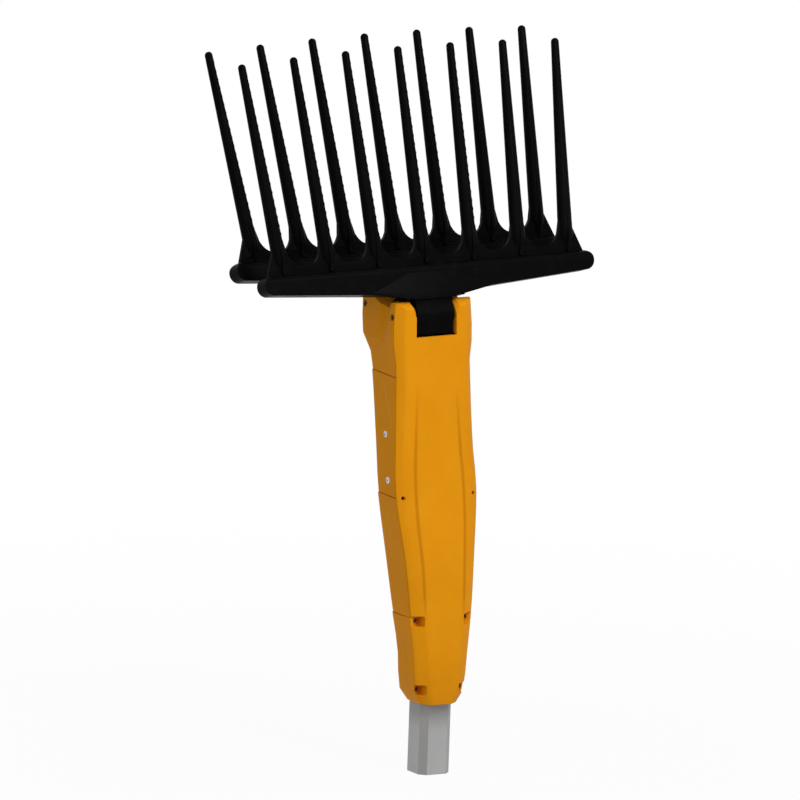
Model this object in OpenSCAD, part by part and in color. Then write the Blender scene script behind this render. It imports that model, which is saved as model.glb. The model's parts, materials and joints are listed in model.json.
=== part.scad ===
// Head of an electric olive harvester on a stub of its pole, in millimetres.
// +Z runs up the pole, X along the combs, and the front of the housing faces -Y.
// The origin is the centre of the pole tube's lower end.

/* [Pole] */
// Outside width of the square tube
pole_w = 35; // [30:0.5:36]
// Cut-off at the tube's corners
pole_corner = 6.5; // [3:0.5:8]
// Wall of the tube
pole_wall = 2; // [1.5:0.1:3]
// Length of the tube, up to its end inside the housing
pole_len = 158; // [130:1:160]

/* [Housing] */
// Height of the housing's lower edge
housing_z0 = 73; // [70:1:76]
// Wall of the shells
shell_wall = 3; // [2:0.25:3.5]
// Width of the housing at its lower edge
foot_w = 54; // [52:0.5:57]
// Width of the housing at its widest place
belly_w = 94.5; // [92:0.5:97]
// Width of the housing across the fork
fork_w = 86.5; // [84:0.5:90]
// Depth of the front chamfers
chamfer_d = 8.5; // [7:0.25:9]
// Rounding of the long ridges
ridge_r = 2.5; // [1.5:0.25:4]
// Height of the seam above the clamp
clamp_seam_z = 162; // [161:0.5:164]
// Height of the seam between the two rear covers
cover_seam_z = 282; // [278:0.5:286]
// Height of the seam below the fork
fork_seam_z = 402; // [398:0.5:402]
// Gap that shows at each seam
seam_gap = 0.6; // [0.2:0.1:0.8]
// Step at each seam of the rear covers
seam_step = 0.6; // [0.2:0.1:0.8]
// Height of the pockets over the clamp screws
pocket_h = 10.5; // [9.5:0.25:12]

/* [Combs] */
// Tines on each comb
tine_count = 7; // [5:1:7]
// Distance between tines at the bar
tine_pitch = 54.4; // [52:0.2:56]
// Fan angle from one tine to the next
tine_fan = 1.52; // [1.2:0.02:1.8]
// Tine radius at the root
tine_root_r = 7.6; // [7:0.1:8.2]
// Tine radius at the tip
tine_tip_r = 4; // [3.5:0.1:4.5]
// Distance from the pivot to the tines' tips
tine_reach = 271; // [250:1:285]
// How far the outer tines' tips fall short of the middle one's
tip_bow = 4.5; // [0:0.25:6]
// Length of the bar
bar_len = 378; // [370:1:390]
// Height of the bar at its ends
bar_h = 20; // [18:0.5:22]
// Depth of the bar
bar_d = 18; // [16:0.5:20]
// Distance from the pivot to the middle of the bar's ends
bar_reach = 41; // [39:0.5:43]
// Slope of the bar's underside
bar_slope = 3.5; // [2:0.1:4]
// Thickness of the scalloped web
web_t = 5; // [4:0.25:6]
// Height of the scallops' lowest points over the bar
web_h = 8; // [6:0.5:10]
// Height over the bar to which the scallops climb the tines
flare_h = 32; // [24:0.5:34]

/* [Pivots] */
// Front pivot, distance behind the pole's axis
front_pivot_y = 26; // [25.5:0.1:26.5]
// Front pivot, height
front_pivot_z = 462; // [460:0.5:464]
// Rear pivot, distance behind the front pivot
pivot_gap = 54.5; // [54:0.1:55]
// Rear pivot, height over the front pivot
pivot_rise = 4; // [2:0.1:5]
// Backward lean of the front comb
front_lean = 18.4; // [16:0.1:20]
// Backward lean of the rear comb
rear_lean = 21.4; // [19:0.1:23]
// Radius of the pivot pins
pin_r = 3.5; // [3:0.25:4.5]
// Radius of the ears round the pivot pins
ear_r = 14.5; // [13:0.25:15]
// Width of the slot between the ears
slot_w = 46; // [44:0.25:47]
// Height of the slot's floor
slot_floor_z = 442; // [440:0.5:444]
// Gap between an arm and each ear
arm_gap = 2; // [1.5:0.25:3]

/* [Drive] */
// Lean of the motor's axis
drive_lean = 10; // [9.5:0.1:10.5]
// Radius of the motor can
motor_r = 21; // [18:0.25:21.5]
// Length of the motor can
motor_len = 75; // [60:1:78]
// Module of the planetary gears
gear_module = 0.75; // [0.7:0.01:0.76]
// Throw of the crank pin
crank_throw = 2; // [1.5:0.1:2.2]
// Radius of the crank bearing
crank_bearing_r = 6.5; // [6:0.25:7]
// Gap between the yoke's prongs
yoke_gap = 25; // [24:0.25:27]

/* [Hidden] */

$fn = 48;
yellow = "#e0900f";
black = "#17171a";
steel = "#b9bcc0";
grey = "#9a9c9c";
bronze = "#b08a4a";

// Clearances: seats in one body, running fits and press seats
seat_gap = 0.15;
run_gap = 0.05;
press_gap = 0.02;
far = 300;

// Housing stations: height, half width, front face, rear face, half width of the front panel, and how far
// behind the panel the brows beside it lie, as a share of the chamfer
housing_top = front_pivot_z + 26;
brow_at = 0.6;
stations = [
    [housing_z0, foot_w/2 - 6, -25, 19, 11, 0.6],
    [housing_z0 + 11, foot_w/2, -27, 25, 14, 0.6],
    [126, 31.5, -26, 24.5, 18.5, 0.6],
    [clamp_seam_z + 5, 36.2, -23, 31, 22, 0.58],
    [212, 39.7, -18.5, 39, 24, 0.48],
    [cover_seam_z + 3, belly_w/2, -5.5, 48, 27.5, 0.4],
    [332, 45.2, 2, 59, 25.5, 0.3],
    [fork_seam_z + 3, fork_w/2, 9, 75, 21.5, 0.12],
    [slot_floor_z - 18, fork_w/2 + 0.4, 11, 82, 21, 0.09],
    [slot_floor_z - 5, fork_w/2 + 3, 12, 91, 20.5, 0.06],
    [housing_top, fork_w/2 - 0.2, 15, 98, 20.5, 0.06]];
last = len(stations) - 1;

function interval(z, i = 0) = i >= last - 1 || z < stations[i + 1][0] ? i : interval(z, i + 1);
function slope_at(i, k) =
    let (a = max(i - 1, 0), b = min(i + 1, last))
    (stations[b][k] - stations[a][k])/(stations[b][0] - stations[a][0]);
function hermite(t, h, a, b, ma, mb) =
    a*(2*t^3 - 3*t^2 + 1) + b*(3*t^2 - 2*t^3) + h*(ma*(t^3 - 2*t^2 + t) + mb*(t^3 - t^2));
function at_height(z, k) =
    let (i = interval(z), h = stations[i + 1][0] - stations[i][0], t = (z - stations[i][0])/h)
    hermite(t, h, stations[i][k], stations[i + 1][k], slope_at(i, k), slope_at(i + 1, k));

// One level outline of the housing, drawn in by inset, with its ridges rounded
function corners(z, inset) =
    let (w = at_height(z, 1) - inset, front = at_height(z, 2) + inset, rear = at_height(z, 3) - inset,
        face = at_height(z, 4) - inset/2, brow = face + (w - face)*brow_at,
        brow_y = front + chamfer_d*at_height(z, 5))
    [[face, front], [brow, brow_y], [w, front + chamfer_d], [w, rear - chamfer_d], [face, rear],
        [-face, rear], [-w, rear - chamfer_d], [-w, front + chamfer_d], [-brow, brow_y], [-face, front]];
function toward(p, q, d) = p + (q - p)*min(d/norm(q - p), 0.45);
function rounded(c, r) = [for (i = [0:len(c) - 1])
    let (p = c[i], a = toward(p, c[(i + len(c) - 1) % len(c)], r), b = toward(p, c[(i + 1) % len(c)], r))
    each [a, a/4 + p/2 + b/4, b]];
function section(z, inset) = [for (p = rounded(corners(z, inset), ridge_r)) [p[0], p[1], z]];
level_h = 18;
function heights(low, high, steps) = [for (k = [0:steps]) low + (high - low)*k/steps];

// Skin through the levels' outlines, drawn in by inset at the lowest one and by inset_top at the highest
module loft(levels, inset, inset_top) {
    n = len(section(levels[0], inset));
    rows = len(levels);
    rise = levels[rows - 1] - levels[0];
    points = [for (z = levels) each section(z, inset + (inset_top - inset)*(z - levels[0])/rise)];
    sides = [for (i = [0:rows - 2], j = [0:n - 1])
        let (a = i*n + j, b = i*n + (j + 1) % n)
        each [[a, a + n, b + n], [a, b + n, b]]];
    floor = [for (j = [0:n - 1]) j];
    roof = [for (j = [n - 1:-1:0]) (rows - 1)*n + j];
    polyhedron(points, concat(sides, [floor, roof]));
}

// Extrudes a side view, drawn as Y across and Z up, along X
module along_x(width) {
    rotate([90, 0, 90]) linear_extrude(width, center = true) children();
}

module x_cylinder(r, len) {
    rotate([0, 90, 0]) cylinder(r = r, h = len, center = true);
}

module y_cylinder(r, len) {
    rotate([-90, 0, 0]) cylinder(r = r, h = len);
}

module slab(low, high) {
    translate([-far, -far, low]) cube([2*far, 2*far, high - low]);
}

// Pole tube
function square_outline(w, c) =
    let (h = w/2)
    [[h, c - h], [h, h - c], [h - c, h], [c - h, h], [-h, h - c], [-h, c - h], [c - h, -h], [h - c, -h]];

module pole_tube() {
    color(grey) linear_extrude(pole_len) difference() {
        polygon(square_outline(pole_w, pole_corner));
        polygon(square_outline(pole_w - 2*pole_wall, pole_corner - pole_wall*(2 - sqrt(2))));
    }
}

module pole_space() {
    translate([0, 0, -1]) linear_extrude(pole_len + 1 + seat_gap)
        polygon(square_outline(pole_w + 2*seat_gap, pole_corner));
}

// Housing
cavity_z0 = clamp_seam_z + 6;
cavity_z1 = slot_floor_z + 1;
parting_low_y = -2;
rear_pivot_y = front_pivot_y + pivot_gap;
rear_pivot_z = front_pivot_z + pivot_rise;

module housing_solid() {
    loft(concat([housing_z0], heights(housing_z0 + 11, housing_top, 22)), 0, 0);
}

module cavity() {
    loft(heights(cavity_z0, cavity_z1, 15), shell_wall, shell_wall);
}

// Everything in front of the parting line, which follows the chamfers' outer ridges above the clamp
module front_zone() {
    line = [for (z = heights(clamp_seam_z, housing_top + 1, 18)) [at_height(z, 2) + chamfer_d, z]];
    along_x(2*far) polygon(concat(
        [[-far, 0], [parting_low_y, 0], [parting_low_y, clamp_seam_z]], line, [[-far, housing_top + 1]]));
}

// What is cut away above the ears and the walls between them, in the slot for the arms and at the ears' rims
wall_z = 7;
ear_round = 3.5;
groove_r = 14;
groove_d = 3.5;
groove_y = front_pivot_y + groove_r;
groove_z = front_pivot_z + ear_r;
groove_lean = 8;

module fork_cuts() {
    along_x(2*far) difference() {
        translate([-far, front_pivot_z]) square([2*far, far]);
        translate([front_pivot_y, front_pivot_z]) circle(ear_r);
        translate([rear_pivot_y, rear_pivot_z]) circle(ear_r);
        polygon([[front_pivot_y, front_pivot_z - 1], [front_pivot_y, front_pivot_z + wall_z],
            [front_pivot_y + ear_r, front_pivot_z + wall_z], [rear_pivot_y, rear_pivot_z + ear_r],
            [rear_pivot_y + ear_r, rear_pivot_z], [rear_pivot_y + ear_r, front_pivot_z - 1]]);
    }
    translate([-slot_w/2, -far, slot_floor_z]) cube([slot_w, 2*far, far]);
    ear_rim(-1, front_pivot_y, front_pivot_z);
    ear_rim(1, rear_pivot_y, rear_pivot_z);
    for (side = [-1, 1]) translate([side*(fork_w/2 + groove_r - groove_d), groove_y, groove_z])
        rotate([0, -side*groove_lean, 0]) cylinder(r = groove_r, h = far, center = true);
}

// Bevels the ears' upper rims beside the slot, on the side of the pivot to which they face
module ear_rim(facing, y, z) {
    translate([0, y, z]) intersection() {
        translate([0, facing*(far/2 - ear_round), far/2 + 1]) cube([far, far, far], center = true);
        for (side = [-1, 1]) translate([side*slot_w/2, 0, 0]) rotate([0, side*90, 0]) difference() {
            translate([0, 0, -1]) cylinder(r = 2*ear_r, h = 2*ear_round);
            translate([0, 0, -ear_round])
                cylinder(r1 = ear_r - 2*ear_round, r2 = ear_r + ear_round, h = 3*ear_round);
        }
    }
}

module pivot_bores(r) {
    translate([0, front_pivot_y, front_pivot_z]) x_cylinder(r, far);
    translate([0, rear_pivot_y, rear_pivot_z]) x_cylinder(r, far);
}

// A rear piece between two heights, drawn in by step at its lower end
module rear_piece(low, high, step) {
    difference() {
        loft(heights(low, high, ceil((high - low)/level_h)), step, 0);
        cavity();
        front_zone();
        children();
    }
}

// Clamp screws: the places of their axes, which run along Y, and their pockets in the chamfers
screw_r = 2.5;
screw_head_r = 4.2;
screw_head_h = 4;
screw_seat_y = -15;
screw_len = 26;
socket_r = 2.2;
socket_d = 2.2;
screw_sides = [[28, 158.5], [24, 88]];
pocket_in = 5.5;
pocket_out = 7.5;
pocket_round = 2;
clamp_places = [for (side = [-1, 1], p = screw_sides) [side*p[0], p[1]]];

module at_clamp_screws() {
    for (p = clamp_places) translate([p[0], screw_seat_y, p[1]]) children();
}

module clamp_pockets() {
    for (p = clamp_places) translate([p[0], screw_seat_y, p[1]]) rotate([90, 0, 0]) linear_extrude(far)
        offset(pocket_round)
            translate([pocket_round - (p[0] > 0 ? pocket_in : pocket_out), pocket_round - pocket_h/2])
                square([pocket_in + pocket_out - 2*pocket_round, pocket_h - 2*pocket_round]);
}

module clamp_screws() {
    color(steel) at_clamp_screws() {
        translate([0, -0.5, 0]) y_cylinder(screw_r, screw_len + 0.5);
        difference() {
            translate([0, -screw_head_h, 0]) y_cylinder(screw_head_r, screw_head_h);
            translate([0, -screw_head_h - 1, 0]) rotate([-90, 0, 0])
                cylinder(r = socket_r, h = socket_d + 1, $fn = 6);
        }
    }
}

module front_shell() {
    color(yellow) difference() {
        intersection() {
            housing_solid();
            front_zone();
        }
        cavity();
        fork_cuts();
        pivot_bores(pin_r + press_gap);
        pole_space();
        clamp_pockets();
        at_clamp_screws() y_cylinder(screw_r + press_gap, screw_len);
        brow_holes();
    }
}

// Screw holes in the brows, beside the seam of the rear covers
brow_hole_r = 2;
brow_hole_x = 40;

module brow_holes() {
    for (side = [-1, 1]) translate([side*brow_hole_x, at_height(cover_seam_z, 2), cover_seam_z])
        y_cylinder(brow_hole_r, chamfer_d);
}

module rear_clamp() {
    color(yellow) difference() {
        intersection() {
            housing_solid();
            slab(housing_z0, clamp_seam_z - seam_gap);
        }
        front_zone();
        pole_space();
        at_clamp_screws() y_cylinder(screw_r + press_gap, screw_len + 1);
    }
}

// Side screws: their places on the two flanks, as Y and Z
side_places = [[31.5, 341.5], [19.5, 297]];
side_head_r = 3.6;
side_head_h = 1.8;
side_shank_r = 1.8;
side_shank_len = 9;
cross_len = 4.4;
cross_w = 0.9;
cross_d = 2.2;
boss_r = 5;
boss_sink = 1.5;

module at_side_screws() {
    for (side = [-1, 1], p = side_places)
        translate([side*at_height(p[1], 1), p[0], p[1]]) rotate([0, side*90, 0]) children();
}

module side_screws() {
    color(steel) at_side_screws() difference() {
        union() {
            translate([0, 0, -side_shank_len]) cylinder(r = side_shank_r, h = side_shank_len);
            translate([0, 0, -side_head_h]) cylinder(r = side_head_r, h = side_head_h);
        }
        for (turn = [0, 90]) rotate([0, 0, turn]) cube([cross_len, cross_w, 2*cross_d], center = true);
    }
}

module side_screw_holes() {
    at_side_screws() {
        translate([0, 0, -side_shank_len - 1]) cylinder(r = side_shank_r + press_gap, h = far);
        translate([0, 0, -side_head_h]) cylinder(r = side_head_r + press_gap, h = far);
    }
}

// Bosses inside the flanks take the side screws
module side_bosses(low, high) {
    intersection() {
        at_side_screws() translate([0, 0, -side_shank_len - boss_sink])
            cylinder(r = boss_r, h = side_shank_len);
        slab(low, high);
    }
}

module covered_piece(low, high) {
    color(yellow) difference() {
        union() {
            rear_piece(low, high, seam_step);
            intersection() {
                side_bosses(low, high);
                housing_solid();
            }
        }
        side_screw_holes();
    }
}

module lower_rear_cover() {
    color(yellow) rear_piece(clamp_seam_z, cover_seam_z - seam_gap, seam_step);
}

module upper_rear_cover() {
    covered_piece(cover_seam_z, fork_seam_z - seam_gap);
}

module fork_housing() {
    color(yellow) rear_piece(fork_seam_z, housing_top, seam_step) {
        fork_cuts();
        pivot_bores(pin_r + press_gap);
    }
}

// Guard over the gear sectors, seated on the ears' inner faces
guard_t = 1.6;
guard_r = pivot_gap/2 - ear_r - 0.5;
guard_back = 6;
guard_rise = 15;
guard_y = front_pivot_y + pivot_gap/2 + guard_back;
guard_z = front_pivot_z + guard_rise;
guard_drop = guard_z - slot_floor_z;

module top_guard() {
    color(black) translate([0, guard_y, guard_z]) {
        along_x(slot_w) difference() {
            circle(guard_r);
            circle(guard_r - guard_t);
            translate([-far, -2*far]) square([2*far, 2*far]);
        }
        for (side = [-1, 1]) translate([side*(slot_w - guard_t)/2, 0, 0]) along_x(guard_t) {
            intersection() {
                circle(guard_r);
                translate([-far, 0]) square([2*far, far]);
            }
            translate([-guard_r, -guard_drop]) square([2*guard_r, guard_drop + 0.01]);
        }
    }
}

// Pivot pins, sunk in the ears and held by a clip beside each ear
pin_sink = 1.5;
pin_hollow_r = 0.35*pin_r;
pin_hollow_d = 2;
pin_len = 2*(at_height(rear_pivot_z, 1) - pin_sink);
clip_side_gap = 0.4;
clip_t = arm_gap - 2*clip_side_gap;
clip_r = pin_r + 2.5;

module front_pivot_pin() {
    color(steel) translate([0, front_pivot_y, front_pivot_z]) pivot_pin();
}

module rear_pivot_pin() {
    color(steel) translate([0, rear_pivot_y, rear_pivot_z]) pivot_pin();
}

module pivot_pin() {
    difference() {
        x_cylinder(pin_r, pin_len);
        for (side = [-1, 1]) translate([side*pin_len/2, 0, 0]) x_cylinder(pin_hollow_r, 2*pin_hollow_d);
    }
}

module at_pivot_clips() {
    for (side = [-1, 1], p = [[front_pivot_y, front_pivot_z], [rear_pivot_y, rear_pivot_z]])
        translate([side*(slot_w - arm_gap)/2, p[0], p[1]]) rotate([0, side*90, 0]) children();
}

module pivot_clips() {
    color(steel) at_pivot_clips() difference() {
        cylinder(r = clip_r, h = clip_t, center = true);
        cylinder(r = pin_r + press_gap, h = 2*clip_t, center = true);
        translate([0, clip_r, 0]) cube([pin_r, 2*clip_r - pin_r, 2*clip_t], center = true);
    }
}

// Combs, drawn with the pivot at the origin and the tines along Z
arm_w = slot_w - 2*arm_gap;
hub_r = 11;
arm_t = 20;
flare_r = 10;
bush_r = 7;
bush_len = 14;
tine_root_z = bar_reach + bar_h/2;
root_cone_h = 16;
under_z = bar_reach - bar_h/2 - tan(bar_slope)*(bar_len/2 - arm_w/2);
shoulder_z = ear_r + 2;
shoulder_w = 74;
shoulder_top_w = 54;
brace_t = 4.5;
brace_h = 6;
brace_w = 140;
brace_top_w = 50;
brace_top_z = tine_root_z - 9;
brace_foot_z = under_z + 3;
brace_edge = 0.4;
rocker_t = 8;
rocker_hub_r = 9;
skirt_t = 5;
skirt_w = arm_w - 1;
skirt_z = slot_floor_z - 4 - front_pivot_z;
skirt_gap = 2;
apron_w = skirt_w - 1;
apron_y = hub_r - 0.8;
front_skirt_y = -8;
rear_skirt_y = 0.6;

module bar_outline() {
    difference() {
        union() {
            for (side = [-1, 1]) translate([side*(bar_len - bar_h)/2, bar_reach]) circle(bar_h/2);
            polygon([[-(bar_len - bar_h)/2, bar_reach + bar_h/2], [-(bar_len - bar_h)/2, bar_reach - bar_h/2],
                [-arm_w/2 - flare_r, under_z], [-arm_w/2 - flare_r, under_z - flare_r],
                [-arm_w/2, under_z - flare_r], [-arm_w/2, 0], [arm_w/2, 0], [arm_w/2, under_z - flare_r],
                [arm_w/2 + flare_r, under_z - flare_r], [arm_w/2 + flare_r, under_z],
                [(bar_len - bar_h)/2, bar_reach - bar_h/2], [(bar_len - bar_h)/2, bar_reach + bar_h/2]]);
        }
        for (side = [-1, 1]) translate([side*(arm_w/2 + flare_r), under_z - flare_r]) circle(flare_r);
    }
    polygon([[-shoulder_w/2, shoulder_z], [-shoulder_top_w/2, under_z + 2],
        [shoulder_top_w/2, under_z + 2], [shoulder_w/2, shoulder_z]]);
}

// Brace that spreads the arm into the bar's outer face
module brace(facing) {
    translate([0, -facing*bar_d/2, 0]) hull() {
        translate([0, 0, under_z - brace_h/2]) cube([arm_w, 2*brace_t, brace_h], center = true);
        translate([0, 0, brace_foot_z]) cube([brace_w, brace_edge, brace_edge], center = true);
        translate([0, 0, brace_top_z]) cube([brace_top_w, brace_edge, brace_edge], center = true);
    }
}

// Side view of the bar and the arm, with rounded upper edges
module bar_profile() {
    round_r = bar_d/2 - 2;
    translate([-arm_t/2, 0]) square([arm_t, under_z + 4]);
    translate([-bar_d/2, 0]) square([bar_d, tine_root_z - round_r]);
    translate([-bar_d/2 + round_r, 0]) square([bar_d - 2*round_r, tine_root_z]);
    for (side = [-1, 1]) translate([side*(bar_d/2 - round_r), tine_root_z - round_r]) circle(round_r);
}

function tine_place(i) = i - (tine_count - 1)/2;

module tine(i) {
    translate([tine_place(i)*tine_pitch, 0, tine_root_z]) rotate([0, tine_place(i)*tine_fan, 0]) {
        tine_len = tine_reach - tine_root_z - tine_tip_r - tip_bow*(2*tine_place(i)/(tine_count - 1))^2;
        cylinder(r1 = web_t/3, r2 = tine_root_r, h = root_cone_h);
        translate([0, 0, root_cone_h])
            cylinder(r1 = tine_root_r, r2 = tine_tip_r, h = tine_len - root_cone_h);
        translate([0, 0, tine_len]) sphere(tine_tip_r);
    }
}

// Web between the tines: each gap's edge is flat in the middle and climbs both tines
web_flat = 0.2;
web_sunk = 0.8;
gusset = tine_root_r + 10;
gusset_h = 0.75*flare_h;
function tine_x(i, h) = tine_place(i)*tine_pitch + h*tan(tine_place(i)*tine_fan);
function scallop(i, u) =
    let (climb = max(abs(u) - web_flat, 0)/(1 - web_flat),
        h = web_h + (flare_h - web_h)*(1 - sqrt(1 - climb^2)),
        share = 0.5 + u*(0.5 - (tine_root_r - web_sunk)/tine_pitch))
    [tine_x(i, h)*(1 - share) + tine_x(i + 1, h)*share, tine_root_z + h];

module web_outline() {
    end = tine_count - 1;
    root_x = tine_x(end, 0) + gusset;
    top_x = tine_x(end, gusset_h) + tine_root_r - web_sunk;
    polygon(concat([[-root_x, tine_root_z - 2], [-root_x, tine_root_z], [-top_x, tine_root_z + gusset_h]],
        [for (i = [0:end - 1], k = [-8:8]) scallop(i, k/8)],
        [[top_x, tine_root_z + gusset_h], [root_x, tine_root_z], [root_x, tine_root_z - 2]]));
}

// The skirt hangs plumb below the hub and closes the slot, skirt_y behind the pivot.
// facing is the side, along Y, from which the rocker enters the hub.
module comb(facing, lean, skirt_y, pivot_z) {
    apron_z = slot_floor_z + skirt_gap - pivot_z;
    difference() {
        union() {
            rotate([lean, 0, 0]) {
                translate([-skirt_w/2, skirt_y, skirt_z]) cube([skirt_w, skirt_t, -skirt_z]);
                along_x(apron_w)
                    polygon([[0, -2], [-facing*apron_y, -2], [-facing*apron_y, apron_z], [0, apron_z]]);
            }
            brace(facing);
            intersection() {
                rotate([90, 0, 0]) linear_extrude(2*arm_t, center = true) bar_outline();
                along_x(bar_len + 2) bar_profile();
            }
            x_cylinder(hub_r, arm_w);
            rotate([90, 0, 0]) linear_extrude(web_t, center = true) web_outline();
            for (i = [0:tine_count - 1]) tine(i);
        }
        x_cylinder(bush_r + press_gap, far);
        x_cylinder(rocker_hub_r + seat_gap, rocker_t + 2*seat_gap);
        translate([0, facing*far/2, rocker_hub_r + seat_gap - far/2])
            cube([rocker_t + 2*seat_gap, far, far], center = true);
    }
}

module bushes() {
    for (side = [-1, 1]) translate([side*(arm_w - bush_len)/2, 0, 0]) difference() {
        x_cylinder(bush_r, bush_len);
        x_cylinder(pin_r + run_gap, 2*bush_len);
    }
}

module at_front() {
    translate([0, front_pivot_y, front_pivot_z]) rotate([-front_lean, 0, 0]) children();
}

module at_rear() {
    translate([0, rear_pivot_y, rear_pivot_z]) rotate([-rear_lean, 0, 0]) children();
}

module front_comb() {
    color(black) at_front() comb(1, front_lean, front_skirt_y, front_pivot_z);
}

module rear_comb() {
    color(black) at_rear() comb(-1, rear_lean, rear_skirt_y, rear_pivot_z);
}

module front_bushes() {
    color(bronze) at_front() bushes();
}

module rear_bushes() {
    color(bronze) at_rear() bushes();
}

// Gear outlines with involute flanks
pressure = 20;
function involute(a) = tan(a)*180/PI - a;
function half_tooth(n, m, r, slack) =
    let (base = n*m/2*cos(pressure))
    90/n + involute(pressure) - involute(acos(min(base/max(r, base), 1))) - slack/(n*m)*180/PI;
function tooth(n, m, slack, root, tip, turn) =
    let (radii = [for (k = [0:4]) root + (tip - root)*k/4])
    concat([for (r = radii) let (a = turn - half_tooth(n, m, r, slack)) r*[cos(a), sin(a)]],
        [for (k = [4:-1:0]) let (r = radii[k], a = turn + half_tooth(n, m, r, slack)) r*[cos(a), sin(a)]]);

module gear_outline(n, m, slack, add, ded, turn) {
    polygon([for (k = [0:n - 1])
        each tooth(n, m, slack, n*m/2 - ded*m, n*m/2 + add*m, turn + k*360/n)]);
}

// Gear sectors that make the combs swing against each other
sector_teeth = 27;
pivot_dist = norm([pivot_gap, pivot_rise]);
pivot_angle = atan2(pivot_rise, pivot_gap);
sector_module = pivot_dist/sector_teeth;
sector_half = 20;
gear_slack = 0.12;
gear_add = 0.85;
gear_ded = 1.1;

module sector_outline(angle, turn) {
    spread = [for (k = [-4:4]) angle + k*sector_half/4];
    circle(rocker_hub_r);
    intersection() {
        gear_outline(sector_teeth, sector_module, gear_slack, gear_add, gear_ded, angle + turn);
        polygon([[0, 0], for (a = spread) pivot_dist*[cos(a), sin(a)]]);
    }
}

module rocker_plate(angle, turn) {
    along_x(rocker_t) difference() {
        sector_outline(angle, turn);
        circle(pin_r + run_gap);
    }
}

// Drive frame: distances run along the motor's axis from its lower end
drive_y0 = 8;
drive_z0 = 210;
motor_s = 45;
plate_t = 2.5;
gearbox_s = motor_s + motor_len + plate_t;
gear_s = gearbox_s + 3.5;
gear_len = 10;
carrier_gap = 1.5;
carrier_s = gear_s + gear_len + carrier_gap;
carrier_t = 5;
gearbox_len = 26;
cover_t = 6;
shaft_r = 5;
bearing_plate_s = 196;
bearing_plate_t = 8;
crank_s = 206;
crank_t = 7;
crank_pin_r = 3;
crank_bearing_s = 225;
crank_bearing_h = 6;
axis_at_yoke = drive_y0 + (crank_bearing_s + crank_bearing_h/2)*sin(drive_lean);
yoke_w = 20;
prong_t = 4;
prong_z0 = 429;
prong_z1 = 448;
bridge_h = 4;
neck_front = 4;
neck_rear = 7;
neck_drop = 5;
neck_foot = 16;

module on_drive(s) {
    translate([0, drive_y0, drive_z0]) rotate([-drive_lean, 0, 0]) translate([0, 0, s]) children();
}

module front_rocker() {
    color(steel) {
        translate([0, front_pivot_y, front_pivot_z]) rocker_plate(pivot_angle, 0);
        along_x(rocker_t) difference() {
            polygon([[front_pivot_y - neck_front, front_pivot_z - neck_drop],
                [front_pivot_y + neck_rear, front_pivot_z - neck_drop],
                [front_pivot_y + neck_foot, prong_z1], [axis_at_yoke + yoke_gap/2, prong_z1],
                [axis_at_yoke + yoke_gap/2, prong_z1 - bridge_h],
                [axis_at_yoke - yoke_gap/2, prong_z1 - bridge_h]]);
            translate([front_pivot_y, front_pivot_z]) circle(pin_r + run_gap);
        }
        along_x(yoke_w) difference() {
            translate([axis_at_yoke - yoke_gap/2 - prong_t, prong_z0])
                square([yoke_gap + 2*prong_t, prong_z1 - prong_z0]);
            translate([axis_at_yoke - yoke_gap/2, prong_z0 - 1])
                square([yoke_gap, prong_z1 - bridge_h + 1 - prong_z0]);
        }
    }
}

module rear_sector() {
    color(steel) translate([0, rear_pivot_y, rear_pivot_z])
        rocker_plate(pivot_angle + 180, 180/sector_teeth);
}

// Motor
motor_wall = 1.5;
magnet_t = 3.5;
rotor_r = motor_r - motor_wall - magnet_t - 0.8;
motor_shaft_r = 2.5;
cap_t = 6;
magnet_s = 10;
magnet_len = motor_len - 27;
magnet_slot = 12;
core_s = 12;
core_len = motor_len - 31;
core_slot_r = 2.6;
commutator_r = 7;
commutator_len = 8;
commutator_s = motor_len - 15;
shaft_out = 17;
terminal_at = 10;
terminal_w = 5;
terminal_t = 0.8;
terminal_len = 8;

module motor_can() {
    color(grey) on_drive(motor_s) difference() {
        cylinder(r = motor_r, h = motor_len);
        translate([0, 0, -1]) cylinder(r = motor_r - motor_wall, h = motor_len - 2);
        cylinder(r = motor_shaft_r + run_gap, h = far);
    }
}

module motor_magnets() {
    color("#4a4a4d") on_drive(motor_s + magnet_s) difference() {
        cylinder(r = motor_r - motor_wall - press_gap, h = magnet_len);
        translate([0, 0, -1]) cylinder(r = motor_r - motor_wall - magnet_t, h = far);
        translate([-far, -magnet_slot/2, -1]) cube([2*far, magnet_slot, far]);
    }
}

module motor_end_cap() {
    color(black) on_drive(motor_s - cap_t) difference() {
        union() {
            cylinder(r = motor_r - 0.5, h = cap_t);
            cylinder(r = motor_r - motor_wall - press_gap, h = cap_t + 3);
        }
        translate([0, 0, -1]) cylinder(r = motor_shaft_r + run_gap, h = far);
        translate([0, 0, cap_t]) cylinder(r = motor_r - 2*motor_wall, h = far);
    }
}

module motor_terminals() {
    color(bronze) for (side = [-1, 1])
        on_drive(motor_s - cap_t - terminal_len) translate([side*terminal_at - terminal_w/2, -terminal_t/2, 0])
            cube([terminal_w, terminal_t, terminal_len]);
}

module motor_rotor() {
    color(steel) on_drive(motor_s - cap_t - 2)
        cylinder(r = motor_shaft_r, h = motor_len + cap_t + plate_t + shaft_out);
    color("#8a4a25") on_drive(motor_s + core_s) difference() {
        cylinder(r = rotor_r, h = core_len);
        for (turn = [0:45:315]) rotate([0, 0, turn]) translate([rotor_r, 0, -1]) cylinder(r = core_slot_r, h = far);
    }
    color(bronze) on_drive(motor_s + commutator_s) cylinder(r = commutator_r, h = commutator_len);
}

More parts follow.
